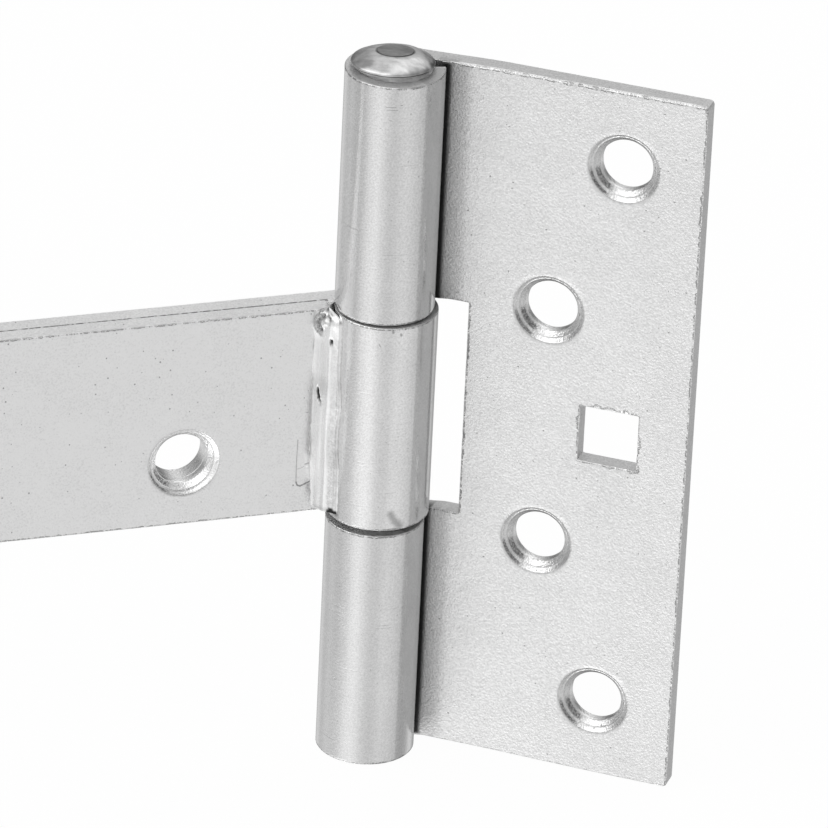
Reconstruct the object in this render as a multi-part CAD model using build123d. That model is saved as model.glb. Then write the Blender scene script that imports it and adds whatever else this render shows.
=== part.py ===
from build123d import *
import os
from math import asin, atan2, cos, degrees, radians, sin, sqrt

# Tee hinge in millimetres. The origin is on the pin's axis at mid height, +Z runs up the pin, the leaf
# reaches to +X and both straps and leaf are fixed by their +Y faces when the hinge lies flat open.

# Sheet and pin
sheet = 2.5
pin_radius = 4.0
barrel_clearance = 0.05
eye_clearance = 0.3

# The loose eye sits off the pin's axis, along the arm's own X and Y, and stands a little proud of the
# strap's back
eye_shift_x = 0.26
eye_shift_y = -0.09
eye_hump = 0.16

# Gaps between the end of each roll and the sheet it comes back to
leaf_roll_gap = 1.28
strap_roll_gap = 0.3

# Leaf
leaf_height = 100.0
leaf_width = 41.0
leaf_corner_radius = 0.8
notch_side_gap = 3.65
barrel_drop = 0.38
barrel_drop_reach = 8.0
outer_hole_inset = 10.85
inner_hole_inset = 19.9
inner_hole_spacing = 34.0
square_side = 8.0

# Screw holes, countersunk at 90 degrees
screw_radius = 3.55
countersink_radius = 4.82

# Arm: strap with its eye, and the doubler in front of it
eye_height = 29.7
end_play = 0.65
arm_length = 200.0
arm_tip_radius = 12.0
arm_hole_count = 4
arm_first_hole = 26.0
arm_hole_stagger = 5.8
arm_last_hole_inset = 15.0
doubler_neck_gap = 0.35
arm_turn = 35.8

# Weld bead in the corner between the doubler and the eye
weld_leg = 2.7
weld_crown = 0.4
weld_end_inset = 0.35
weld_fit = 0.02

# Pin head, riveted over the upper barrel and leaning towards the leaf's back
head_radius = 5.7
head_rim = 0.6
head_dome_rise = 1.0
head_lean = 7.0
head_lean_azimuth = 107.9
head_disc_radius = 2.45
head_disc_step = 0.13
head_disc_crown = 0.12
pin_end_chamfer = 0.5

# Worked out from the values above
barrel_bore = pin_radius + barrel_clearance
barrel_radius = barrel_bore + sheet
eye_bore = pin_radius + eye_clearance
eye_radius = eye_bore + sheet
half_leaf = leaf_height / 2
half_eye = eye_height / 2
half_notch = half_eye + end_play
notch_edge = barrel_radius + notch_side_gap
leaf_front = barrel_radius - sheet
arm_back = eye_radius + eye_shift_y - eye_hump
arm_seam = arm_back - sheet
arm_front = arm_seam - sheet
arm_thickness = 2 * sheet
eye_side = eye_shift_x - eye_radius
doubler_end = eye_side - doubler_neck_gap
cut_margin = 1.0


def rolled_profile(bore, centre, back, gap, reach):
    """Section of a sheet that runs to +X and whose near end is rolled forward into an eye."""
    outer = bore + sheet
    front = back - sheet
    back_rise = back - centre.Y
    front_rise = front - centre.Y
    back_run = sqrt(max(outer**2 - back_rise**2, 0))
    front_run = sqrt(max(bore**2 - front_rise**2, 0))
    back_angle = degrees(atan2(back_rise, back_run))
    front_angle = degrees(atan2(front_rise, front_run))
    lip = degrees(asin((front_rise - gap) / outer))
    lip_direction = Vector(cos(radians(lip)), sin(radians(lip)))
    back_start = centre + Vector(back_run, back_rise)
    front_start = centre + Vector(front_run, front_rise)
    with BuildSketch() as profile:
        with BuildLine():
            Line((reach, back), back_start)
            CenterArc(centre, outer, back_angle, 360 + lip - back_angle)
            Line(centre + lip_direction * outer, centre + lip_direction * bore)
            CenterArc(centre, bore, lip, front_angle - lip - 360)
            Line(front_start, (reach, front))
            Line((reach, front), (reach, back))
        make_face()
    return profile.sketch


def screw_cutter(depth):
    """Countersunk hole along +Y, its mouth centred on the origin."""
    sink = countersink_radius - screw_radius
    with BuildSketch() as section:
        with BuildLine():
            Polyline(
                (0, -cut_margin),
                (countersink_radius + cut_margin, -cut_margin),
                (screw_radius, sink),
                (screw_radius, depth + cut_margin),
                (0, depth + cut_margin),
                close=True,
            )
        make_face()
    return revolve(section.sketch, Axis.Y)


def round_far_corners(plate, far_side, radius):
    """Round the two corners of a plate that lie furthest along X, on the side far_side."""
    corners = plate.edges().filter_by(Axis.Y).group_by(Axis.X)[far_side]
    return fillet(corners, radius)


def space_above_barrel():
    """Space over the upper barrel, whose roll left its top a little below the leaf's top."""
    low = half_leaf - barrel_drop
    high = half_leaf + head_rim + head_dome_rise + 4 * cut_margin
    far = barrel_radius + 2 * cut_margin
    with BuildSketch(Plane.XZ) as side:
        with BuildLine():
            Polyline(
                (-far, low),
                (0, low),
                (barrel_drop_reach, half_leaf),
                (barrel_drop_reach, high),
                (-far, high),
                close=True,
            )
        make_face()
    return extrude(side.sketch, far, both=True)


def make_leaf():
    """Plate with two rolled barrels, the notch between them, and its five holes."""
    section = rolled_profile(barrel_bore, Vector(0, 0), barrel_radius, leaf_roll_gap, leaf_width)
    blank = extrude(section, half_leaf, both=True)
    blank = round_far_corners(blank, -1, leaf_corner_radius) - space_above_barrel()
    notch_length = notch_edge + barrel_radius + cut_margin
    notch_depth = 2 * (barrel_radius + cut_margin)
    notch = Box(notch_length, notch_depth, 2 * half_notch)
    blank -= Pos(notch_edge - notch_length / 2, 0, 0) * notch
    outer_x = leaf_width - outer_hole_inset
    outer_z = half_leaf - outer_hole_inset
    inner_x = leaf_width - inner_hole_inset
    inner_z = inner_hole_spacing / 2
    cutter = screw_cutter(sheet)
    for x, z in ((outer_x, outer_z), (inner_x, inner_z), (inner_x, -inner_z), (outer_x, -outer_z)):
        blank -= Pos(x, leaf_front, z) * cutter
    square = Box(square_side, sheet + 2 * cut_margin, square_side)
    return blank - Pos(outer_x, leaf_front + sheet / 2, 0) * square


def arm_hole_places():
    """Screw holes along the arm, staggered about its middle line, the last one on the line."""
    last = arm_length - arm_last_hole_inset
    pitch = (last - arm_first_hole) / (arm_hole_count - 1)
    places = []
    for number in range(arm_hole_count):
        stagger = arm_hole_stagger if number % 2 else -arm_hole_stagger
        if number == arm_hole_count - 1:
            stagger = 0
        places.append((-(arm_first_hole + number * pitch), stagger))
    return places


def drill_arm(layer):
    """Cut the screw holes that the doubler and the strap share through one of them."""
    cutter = screw_cutter(arm_thickness)
    for x, z in arm_hole_places():
        layer -= Pos(x, arm_front, z) * cutter
    return layer


def make_strap():
    """Back strip of the arm, rolled into the eye."""
    centre = Vector(-eye_shift_x, eye_shift_y)
    section = rolled_profile(eye_bore, centre, arm_back, strap_roll_gap, arm_length)
    strip = extrude(mirror(section, about=Plane.YZ), half_eye, both=True)
    tip_radius = min(arm_tip_radius, half_eye - cut_margin)
    return drill_arm(round_far_corners(strip, 0, tip_radius))


def make_doubler():
    """Front strip of the arm, ending square just short of the eye."""
    length = arm_length + doubler_end
    strip = Pos(doubler_end - length / 2, arm_front + sheet / 2, 0) * Box(length, sheet, eye_height)
    tip_radius = min(arm_tip_radius, half_eye - cut_margin)
    return drill_arm(round_far_corners(strip, 0, tip_radius))


def make_weld_bead():
    """Convex fillet weld that fills the corner between the doubler's end and the eye."""
    centre = Vector(eye_shift_x, eye_shift_y)
    seat = eye_radius + weld_fit
    root_rise = arm_seam - centre.Y
    toe_rise = arm_front - weld_leg - centre.Y
    root = centre + Vector(-sqrt(seat**2 - root_rise**2), root_rise)
    arm_toe = Vector(eye_side - weld_leg, arm_front)
    eye_toe = centre + Vector(-sqrt(seat**2 - toe_rise**2), toe_rise)
    crown_direction = (arm_toe - eye_toe).normalized().rotate(Axis.Z, 90)
    crown = (arm_toe + eye_toe) / 2 + crown_direction * weld_crown
    root_angle = 180 - degrees(asin(root_rise / seat))
    toe_angle = 180 - degrees(asin(toe_rise / seat))
    with BuildSketch() as section:
        with BuildLine():
            Polyline(arm_toe, (doubler_end, arm_front), (doubler_end, arm_seam), root)
            CenterArc(centre, seat, root_angle, toe_angle - root_angle)
            ThreePointArc(eye_toe, crown, arm_toe)
        make_face()
    return extrude(section.sketch, half_eye - weld_end_inset, both=True)


def crown_arc(outer, inner):
    """Arc between two points of a turned section, with its centre on the pin's axis."""
    (outer_r, outer_z), (inner_r, inner_z) = outer, inner
    centre_z = (outer_r**2 + outer_z**2 - inner_r**2 - inner_z**2) / (2 * (outer_z - inner_z))
    crown_radius = sqrt(outer_r**2 + (outer_z - centre_z) ** 2)
    middle_r = (outer_r + inner_r) / 2
    middle_z = centre_z + sqrt(crown_radius**2 - middle_r**2)
    return ThreePointArc(outer, (middle_r, middle_z), inner)


def make_head():
    """Domed head with its raised middle disc, upright on the pin's axis."""
    rim_top = half_leaf + head_rim
    dome_top = rim_top + head_dome_rise
    disc_edge = dome_top + head_disc_step
    head_top = disc_edge + head_disc_crown
    base = half_leaf - barrel_drop - 2 * cut_margin
    with BuildSketch(Plane.XZ) as section:
        with BuildLine():
            Polyline((0, head_top), (0, base), (head_radius, base), (head_radius, rim_top))
            crown_arc((head_radius, rim_top), (head_disc_radius, dome_top))
            Line((head_disc_radius, dome_top), (head_disc_radius, disc_edge))
            crown_arc((head_disc_radius, disc_edge), (0, head_top))
        make_face()
    return revolve(section.sketch, Axis.Z)


def make_hinge_pin():
    """Pin from the foot of the lower barrel to its leaning head on the upper one."""
    with BuildSketch(Plane.XZ) as section:
        with BuildLine():
            Polyline(
                (0, half_leaf),
                (0, -half_leaf),
                (pin_radius - pin_end_chamfer, -half_leaf),
                (pin_radius, -half_leaf + pin_end_chamfer),
                (pin_radius, half_leaf),
                close=True,
            )
        make_face()
    shank = revolve(section.sketch, Axis.Z)
    lean = Pos(0, 0, half_leaf) * Rot(0, 0, head_lean_azimuth) * Rot(0, head_lean, 0)
    head = lean * (Pos(0, 0, -half_leaf) * make_head())
    return shank + (head & space_above_barrel())


arm_pose = Rot(0, 0, arm_turn)
nodes = {
    "leaf": make_leaf(),
    "hinge_pin": make_hinge_pin(),
    "strap": arm_pose * make_strap(),
    "doubler": arm_pose * make_doubler(),
    "weld_bead": arm_pose * make_weld_bead(),
}

os.makedirs("parts", exist_ok=True)
for name, shape in nodes.items():
    export_step(shape, f"parts/{name}.step")
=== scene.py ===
"""Tee hinge in bright zinc plate: a leaf with two barrels, a doubled arm with its welded eye, and the pin.

Pieces are modelled in millimetres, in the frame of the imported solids, and scaled to metres when placed.
"""

import logging
import math
from collections.abc import Callable, Iterator
from contextlib import contextmanager
from dataclasses import dataclass, field
from enum import Enum

import bmesh
import bpy
from mathutils import Matrix, Vector, kdtree, noise


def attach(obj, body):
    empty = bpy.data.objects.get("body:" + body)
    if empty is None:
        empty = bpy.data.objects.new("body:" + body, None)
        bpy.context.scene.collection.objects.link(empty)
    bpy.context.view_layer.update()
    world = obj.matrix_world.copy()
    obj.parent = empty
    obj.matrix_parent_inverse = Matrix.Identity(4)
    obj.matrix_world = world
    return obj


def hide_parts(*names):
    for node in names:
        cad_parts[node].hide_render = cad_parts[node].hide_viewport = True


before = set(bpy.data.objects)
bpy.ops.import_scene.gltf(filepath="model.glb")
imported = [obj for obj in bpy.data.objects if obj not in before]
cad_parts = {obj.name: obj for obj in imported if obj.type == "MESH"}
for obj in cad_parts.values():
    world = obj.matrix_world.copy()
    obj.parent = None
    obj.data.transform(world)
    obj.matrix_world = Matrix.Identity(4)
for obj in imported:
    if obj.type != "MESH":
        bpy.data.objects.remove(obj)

LOG = logging.getLogger("tee_hinge")
MM = 0.001
TINY = 0.01

LEAF_BODY = "leaf_body"
ARM_BODY = "arm_body"
ARM_TURN = 35.8
ARM_BACK = 6.55
ARM_LIFT = -0.1
SHEET = 2.5
PIN_RADIUS = 4.0
BORE = 4.05
SCREW_RADIUS = 3.55
COUNTERSINK_RADIUS = 4.82
EYE_RADIUS = 6.8
EYE_CENTRE = Vector((0.26, -0.09, 0.0))
EYE_LIFT = 0.33
NARROW_EDGE = 0.09
NO_SEAM = 9.0
LEAF_HOLES = ((30.15, 39.15), (21.1, 17.0), (21.1, -17.0), (30.15, -39.15))
ARM_HOLES = ((-26.0, -5.8), (-79.0, 5.8), (-132.0, -5.8), (-185.0, 0.0))
BARREL_SCRATCHES = ((279.0, 291.0, 46.9), (281.0, 293.0, 46.5), (284.0, 287.0, 45.0), (296.0, 298.0, 47.2))
PLACE_INPUTS = ("Place", "Start", "End")

Table = tuple[tuple[float, float], ...]


class Part(Enum):
    """What an edit-mode choice is made of."""

    EDGE = "EDGE"
    FACE = "FACE"


def clear_selection() -> None:
    """Leave nothing selected in object mode."""
    bpy.ops.object.select_all(action="DESELECT")


def activate(piece: bpy.types.Object) -> None:
    """Select one piece alone and make it the active one."""
    clear_selection()
    piece.select_set(True)
    bpy.context.view_layer.objects.active = piece


@contextmanager
def editing(piece: bpy.types.Object, part: Part) -> Iterator[None]:
    """Open a piece in edit mode with nothing selected, and close it afterwards.

    Args:
        piece: The piece to edit.
        part: The kind of element that is selected.
    """
    activate(piece)
    bpy.ops.object.mode_set(mode="EDIT")
    bpy.ops.mesh.select_mode(type=part.value)
    bpy.ops.mesh.select_all(action="DESELECT")
    yield
    bpy.ops.object.mode_set(mode="OBJECT")


def middle(element: bmesh.types.BMEdge | bmesh.types.BMFace) -> Vector:
    """Middle of an edge or a face."""
    points = [point.co for point in element.verts]
    return sum(points, Vector()) / len(points)


def choose(piece: bpy.types.Object, part: Part, test: Callable[[object], bool]) -> None:
    """Select the elements of a piece in edit mode that pass a test.

    Args:
        piece: The piece in edit mode.
        part: The kind of element to go through.
        test: Tells whether an element is wanted.
    """
    mesh = bmesh.from_edit_mesh(piece.data)
    elements = {Part.EDGE: mesh.edges, Part.FACE: mesh.faces}[part]
    wanted = [element for element in elements if test(element)]
    bpy.ops.mesh.select_all(action="DESELECT")
    for element in wanted:
        element.select_set(True)
    bmesh.update_edit_mesh(piece.data)


def apply_modifier(piece: bpy.types.Object, kind: str, **settings: object) -> None:
    """Add a modifier to a piece, set it and apply it."""
    activate(piece)
    modifier = piece.modifiers.new(kind.title(), kind)
    for name, value in settings.items():
        setattr(modifier, name, value)
    bpy.ops.object.modifier_apply(modifier=modifier.name)


def started(name: str, scale: tuple[float, float, float] = (1.0, 1.0, 1.0)) -> bpy.types.Object:
    """Name the piece that was just added, and apply its place and its scale."""
    piece = bpy.context.object
    piece.name = name
    piece.data.name = name
    piece.scale = scale
    bpy.ops.object.transform_apply(location=True, rotation=True, scale=True)
    return piece


def turn_outwards(piece: bpy.types.Object) -> None:
    """Turn the faces of a closed piece outwards."""
    with editing(piece, Part.FACE):
        bpy.ops.mesh.select_all(action="SELECT")
        bpy.ops.mesh.normals_make_consistent(inside=False)


def move_points(piece: bpy.types.Object, place: Callable[[Vector], Vector]) -> None:
    """Move each point of a piece to where a function puts it."""
    for point in piece.data.vertices:
        point.co = place(point.co.copy())
    piece.data.update()


def store(piece: bpy.types.Object, name: str, value: Callable[[Vector], float]) -> None:
    """Store a number at each point of a piece, for its finish to read.

    Args:
        piece: The finished piece, still in millimetres.
        name: The name of the stored attribute.
        value: The number at a point.
    """
    numbers = [value(point.co) for point in piece.data.vertices]
    piece.data.attributes.new(name, "FLOAT", "POINT").data.foreach_set("value", numbers)


def place(piece: bpy.types.Object, turn: float, smooth_angle: float) -> None:
    """Turn a finished piece about the pin's axis, scale it to metres and smooth its shading.

    Args:
        piece: The piece, modelled in millimetres.
        turn: The turn about the pin's axis, in degrees.
        smooth_angle: The angle between faces that still shades smoothly, in degrees.
    """
    activate(piece)
    piece.rotation_euler = (0.0, 0.0, math.radians(turn))
    piece.scale = (MM, MM, MM)
    bpy.ops.object.transform_apply(location=True, rotation=True, scale=True)
    bpy.ops.object.shade_smooth_by_angle(angle=math.radians(smooth_angle))


def ramp(value: float, low: float, high: float) -> float:
    """Smooth step of a value from 0 at low to 1 at high."""
    share = min(1.0, max(0.0, (value - low) / (high - low)))
    return share * share * (3.0 - 2.0 * share)


def within(value: float, rise: float, full: float, fading: float, gone: float) -> float:
    """Smoothly 1 from full to fading, and 0 before rise and past gone."""
    return ramp(value, rise, full) * (1.0 - ramp(value, fading, gone))


def bump(value: float, middle: float, width: float) -> float:
    """Soft bump of height 1 around a middle value."""
    return math.exp(-(((value - middle) / width) ** 2))


def compass(x: float, y: float) -> float:
    """Direction of a place from the origin, in degrees from +X."""
    return math.degrees(math.atan2(y, x)) % 360.0


def roughly(point: Vector, size: float, seed: float = 0.0) -> float:
    """Smooth noise between -1 and 1 at a point, with features of a size in millimetres."""
    return noise.noise(point / size + Vector((seed, 2.0 * seed, -seed)))


def arm_place(x: float, y: float, z: float) -> tuple[float, float, float]:
    """Turn a place along the arm into the frame of the whole hinge."""
    turn = math.radians(ARM_TURN)
    return x * math.cos(turn) - y * math.sin(turn), x * math.sin(turn) + y * math.cos(turn), z


def on_eye(y: float, gap: float = 0.0) -> float:
    """Place along X of the side of the strap's eye at a place along Y, or of a line off it by a gap."""
    return EYE_CENTRE.x - math.sqrt((EYE_RADIUS + gap) ** 2 - (y - EYE_CENTRE.y) ** 2)


@dataclass(frozen=True)
class ScrewHole:
    """A round hole through a sheet, with the turned wall that its tool left.

    Attributes:
        x: Place of its axis along the sheet.
        z: Place of its axis up the sheet.
        wall: Depth from the front face and radius of each ring of the wall.
    """

    x: float
    z: float
    wall: Table

    @property
    def mouth(self) -> float:
        """Radius at the front face."""
        return self.wall[0][1]

    def offset(self, point: Vector) -> Vector:
        """Place of a point from the hole's axis, in the sheet's plane."""
        return Vector((point.x - self.x, 0.0, point.z - self.z))

    def on_mouth(self, point: Vector) -> Vector:
        """Place on the hole's mouth for a point on the square around it, evenly spread."""
        away = self.offset(point)
        if abs(away.x) >= abs(away.z):
            angle = math.pi / 4 * away.z / away.x + (math.pi if away.x < 0 else 0.0)
        else:
            angle = math.pi / 2 - math.pi / 4 * away.x / away.z + (math.pi if away.z < 0 else 0.0)
        x = self.x + self.mouth * math.cos(angle)
        return Vector((x, point.y, self.z + self.mouth * math.sin(angle)))


def sunk_wall(depth: float) -> Table:
    """Rings of a countersunk wall: lip, two cones with a tool mark between them, land and back lip."""
    sink = COUNTERSINK_RADIUS - SCREW_RADIUS
    lip = 0.06
    mark = 0.42 * sink
    return (
        (0.0, COUNTERSINK_RADIUS + lip),
        (0.35 * lip, COUNTERSINK_RADIUS),
        (lip, COUNTERSINK_RADIUS - lip),
        (0.5 * mark, COUNTERSINK_RADIUS - 0.5 * mark),
        (mark - 0.05, COUNTERSINK_RADIUS - mark + 0.05),
        (mark - 0.02, COUNTERSINK_RADIUS - mark - 0.05),
        (mark + 0.06, COUNTERSINK_RADIUS - mark - 0.07),
        (mark + 0.12, COUNTERSINK_RADIUS - mark - 0.12),
        (0.8 * sink, COUNTERSINK_RADIUS - 0.8 * sink),
        (sink - 0.05, SCREW_RADIUS + 0.05),
        (sink + 0.04, SCREW_RADIUS),
        (0.5 * (sink + depth), SCREW_RADIUS),
        (depth - lip, SCREW_RADIUS),
        (depth, SCREW_RADIUS + lip),
    )


def plain_wall(depth: float) -> Table:
    """Rings of a straight wall with small lips at both faces."""
    lip = 0.06
    return (
        (0.0, SCREW_RADIUS + lip),
        (lip, SCREW_RADIUS),
        (0.5 * depth, SCREW_RADIUS),
        (depth - lip, SCREW_RADIUS),
        (depth, SCREW_RADIUS + lip),
    )


@dataclass
class SheetPiece:
    """A piece cut from sheet, modelled flat from its back face and given its thickness.

    Attributes:
        name: Name of the piece in the scene.
        node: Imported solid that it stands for.
        body: Body that it rides on.
        near: Near end of the flat part along X.
        far: Far end along X.
        half_height: Half its height.
        back: Place of its back face along Y.
        holes: Its screw holes.
        turn: Turn about the pin's axis when it is placed, in degrees.
        cell: Size of the mesh cells.
        patch: Half side of the square of cells that a hole is let into.
        edge_round: Width of the rounding along its most worn edges.
        corner: Radius of its two far corners.
    """

    name: str
    node: str
    body: str
    near: float
    far: float
    half_height: float
    back: float
    holes: list[ScrewHole] = field(default_factory=list)
    turn: float = 0.0
    cell: float = 0.5
    patch: float = 6.0
    edge_round: float = 0.24
    corner: float = 12.0

    @property
    def front(self) -> float:
        """Place of the front face along Y."""
        return self.back - SHEET

    @property
    def side(self) -> float:
        """Direction along X in which the sheet runs from the pin."""
        return math.copysign(1.0, self.far)

    def add_skin(self) -> bpy.types.Object:
        """Lay down the back face as a grid of cells.

        Returns:
            The new piece.
        """
        clear_selection()
        first = round(self.near / self.cell) * self.cell
        width = abs(self.far - first)
        bpy.ops.mesh.primitive_grid_add(
            x_subdivisions=round(width / self.cell),
            y_subdivisions=round(2 * self.half_height / self.cell),
            size=1.0,
            location=((first + self.far) / 2, self.back, 0.0),
            rotation=(math.radians(-90), 0.0, 0.0),
        )
        piece = started(self.name, (width, 2 * self.half_height, 1.0))

        def to_near_end(point: Vector) -> Vector:
            if abs(point.x - first) < TINY:
                point.x = self.near
            return point

        move_points(piece, to_near_end)
        return piece

    def open_hole(self, piece: bpy.types.Object, hole: ScrewHole) -> None:
        """Let a round hole into the cells around it.

        Args:
            piece: The flat skin.
            hole: The hole to open.
        """

        def in_patch(element: object, extra: float = 0.0) -> bool:
            away = hole.offset(middle(element))
            reach = self.patch + extra
            return abs(away.x) < reach and abs(away.z) < reach

        def reaches_in(edge: bmesh.types.BMEdge) -> bool:
            inner, outer = sorted(hole.offset(point.co).length for point in edge.verts)
            return abs(inner - hole.mouth) < TINY and outer > self.patch - self.cell

        with editing(piece, Part.FACE):
            choose(piece, Part.FACE, in_patch)
            bpy.ops.mesh.delete(type="FACE")
            bpy.ops.mesh.select_mode(type=Part.EDGE.value)
            choose(piece, Part.EDGE, lambda edge: edge.is_boundary and in_patch(edge, self.cell))
            bpy.ops.mesh.extrude_edges_move()
            mesh = bmesh.from_edit_mesh(piece.data)
            for point in mesh.verts:
                if point.select:
                    point.co = hole.on_mouth(point.co)
            bmesh.update_edit_mesh(piece.data)
            choose(piece, Part.EDGE, reaches_in)
            bpy.ops.mesh.subdivide(number_cuts=3)

    def thicken(self, piece: bpy.types.Object) -> None:
        """Turn the skin's faces outwards and give it the sheet's thickness inwards."""
        with editing(piece, Part.FACE):
            bpy.ops.mesh.select_all(action="SELECT")
            bpy.ops.mesh.normals_make_consistent(inside=False)
            mesh = bmesh.from_edit_mesh(piece.data)
            flat = max(mesh.faces, key=lambda face: abs(face.calc_center_median().x))
            if flat.normal.y < 0:
                bpy.ops.mesh.flip_normals()
        apply_modifier(
            piece,
            "SOLIDIFY",
            thickness=SHEET,
            offset=-1.0,
            use_even_offset=True,
            use_quality_normals=True,
            use_rim=True,
        )

    def turn_wall(self, piece: bpy.types.Object, hole: ScrewHole) -> None:
        """Cut one hole's wall into rings and move each ring to its depth and radius.

        Args:
            piece: The thickened piece.
            hole: The hole whose wall is turned.
        """

        def on_wall(point: Vector) -> bool:
            return abs(hole.offset(point).length - hole.mouth) < TINY

        def across(edge: bmesh.types.BMEdge) -> bool:
            ends = [point.co for point in edge.verts]
            return abs(ends[0].y - ends[1].y) > SHEET / 2 and all(map(on_wall, ends))

        rings = len(hole.wall) - 1
        with editing(piece, Part.EDGE):
            choose(piece, Part.EDGE, across)
            bpy.ops.mesh.subdivide(number_cuts=rings - 1)

        def to_ring(point: Vector) -> Vector:
            if not on_wall(point):
                return point
            ring = round((point.y - self.front) / SHEET * rings)
            depth, radius = hole.wall[ring]
            away = hole.offset(point).normalized()
            chatter = 0.02 * roughly(away * 6.0 + Vector((hole.x, depth, hole.z)), 1.3)
            axis = Vector((hole.x, self.front + depth, hole.z))
            return axis + away * (radius + chatter)

        move_points(piece, to_ring)

    def sharp_edges(self, piece: bpy.types.Object) -> list[Vector]:
        """Select the sheared edges of a piece in edit mode.

        Returns:
            The places of their points.
        """

        def is_sheared(edge: bmesh.types.BMEdge) -> bool:
            if len(edge.link_faces) != 2 or edge.calc_face_angle(0.0) < math.radians(50):
                return False
            return not any(
                all(hole.offset(point.co).length < hole.mouth + TINY for point in edge.verts)
                for hole in self.holes
            )

        choose(piece, Part.EDGE, is_sheared)
        mesh = bmesh.from_edit_mesh(piece.data)
        return [point.co.copy() for point in mesh.verts if point.select]

    def nick_strength(self, point: Vector) -> float:
        """How much the edge at a point is nibbled, from 0 to 1."""
        return 0.25

    def edge_width(self, point: Vector) -> float:
        """Width of the rounding at an edge."""
        return NARROW_EDGE

    def ease_edges(self, piece: bpy.types.Object) -> None:
        """Round the sheared edges and nibble the rounding.

        Args:
            piece: The piece with its holes turned.
        """
        with editing(piece, Part.EDGE):
            places = self.sharp_edges(piece)
            bpy.ops.mesh.bevel(
                offset=self.edge_round,
                offset_type="OFFSET",
                segments=1,
                profile=0.5,
                affect="EDGES",
            )
        edges = kdtree.KDTree(len(places))
        for number, point in enumerate(places):
            edges.insert(point, number)
        edges.balance()
        normals = {tuple(point.co): point.normal.copy() for point in piece.data.vertices}

        def nibble(point: Vector) -> Vector:
            nearest, _, away = edges.find(point)
            if away > 1.8 * self.edge_round:
                return point
            strength = self.nick_strength(point)
            outward = point - nearest
            wear = max(0.0, roughly(nearest, 0.9, 3.0) + 0.25)
            chip = max(0.0, roughly(nearest, 1.7, 7.0) - 0.1)
            width = self.edge_width(nearest) * (1.0 + 0.6 * strength * wear)
            moved = nearest + outward * width / self.edge_round
            return moved - normals[tuple(point)] * strength * (0.03 * wear + 0.05 * chip)

        move_points(piece, nibble)

    def deep_shade(self, point: Vector) -> float:
        """How dark a point is with painted deep shade, from 0 to 1."""
        return 0.0

    def seam(self, point: Vector) -> float:
        """Distance of a point on an edge from the line where another sheet lies against this one."""
        return NO_SEAM

    def rolled(self, point: Vector) -> float:
        """Whether a point is on a rolled eye, from 0 to 1."""
        return 0.0

    def shade(self, point: Vector) -> float:
        """How much painted shade greys the plate at a point, from 0 to 1."""
        return 0.0

    def edge_distance(self, point: Vector) -> float:
        """Distance along the sheet from a point to the nearest sheared edge."""
        return min(self.half_height - abs(point.z), abs(point.x - self.far), abs(point.x - self.near))

    def upright(self, point: Vector) -> float:
        """1 where the nearest sheared edge stands upright, 0 where it lies level."""
        return 1.0 if abs(point.x - self.far) < self.half_height - abs(point.z) else 0.0

    def depth(self, point: Vector) -> float:
        """Distance of a point on a sheared wall from the nearer face of the sheet."""
        return min(abs(point.y - self.front), abs(self.back - point.y))

    def record_surface(self, piece: bpy.types.Object) -> None:
        """Store what the finish needs to know about each point.

        Args:
            piece: The shaped piece.
        """

        def beside(point: Vector) -> tuple[ScrewHole, float] | None:
            for hole in self.holes:
                away = hole.offset(point).length
                if away < hole.mouth + 1.0 and point.y > self.front - TINY:
                    return hole, away
            return None

        def bored(point: Vector) -> float:
            near = beside(point)
            return 1.0 if near and near[1] < near[0].mouth - TINY and point.y < self.back - TINY else 0.0

        def rim(point: Vector) -> float:
            width = self.edge_width(point)
            inward = max(0.0, min(3.0, self.edge_distance(point)) - width)
            return inward + max(0.0, self.depth(point) - width)

        def lip(point: Vector) -> float:
            near = beside(point)
            return abs(near[1] - near[0].mouth) if near and point.y < self.front + 0.2 else 1.0

        def sunk(point: Vector) -> float:
            near = beside(point)
            return near[1] if near and bored(point) else 0.0

        def bearing(point: Vector) -> float:
            near = beside(point)
            if not near or not bored(point):
                return 0.0
            away = near[0].offset(point)
            return compass(away.x, away.z)

        def cut(point: Vector) -> float:
            return ramp(self.depth(point), 0.02, 0.08)

        def nick(point: Vector) -> float:
            return self.nick_strength(point) if self.depth(point) < 0.04 else 0.0

        def rolled(point: Vector) -> float:
            return self.rolled(point) * (1.0 - cut(point))

        for value in (rim, lip, bored, sunk, bearing, nick, cut, rolled):
            store(piece, value.__name__, value)
        # The last two stored values are painted deep shade and painted shade.
        for value in (self.seam, self.upright, self.deep_shade, self.shade):
            store(piece, value.__name__, value)

    def outline(self, point: Vector) -> Vector:
        """Draw the cells at the two far corners in to a quarter circle."""
        straight = abs(self.far) - self.corner
        level = self.half_height - self.corner
        across = (self.side * point.x - straight) / self.corner
        up = (abs(point.z) - level) / self.corner
        if across <= 0 or up <= 0:
            return point
        x = self.side * (straight + self.corner * across * math.sqrt(1 - up * up / 2))
        z = level + self.corner * up * math.sqrt(1 - across * across / 2)
        return Vector((x, point.y, math.copysign(z, point.z)))

    def settle(self, point: Vector) -> Vector:
        """Where a point of the true shape ended up when the piece was formed."""
        return point

    def shape(self, piece: bpy.types.Object) -> None:
        """Open the holes in the flat skin and draw its outline."""
        for hole in self.holes:
            self.open_hole(piece, hole)
        move_points(piece, self.outline)

    def build(self, finish: bpy.types.Material) -> None:
        """Make the whole piece, dress it and let it ride on its body."""
        piece = self.add_skin()
        self.shape(piece)
        self.thicken(piece)
        for hole in self.holes:
            self.turn_wall(piece, hole)
        self.ease_edges(piece)
        self.record_surface(piece)
        move_points(piece, self.settle)
        place(piece, self.turn, 40.0)
        hand_over(piece, finish, self.node, self.body)


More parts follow.
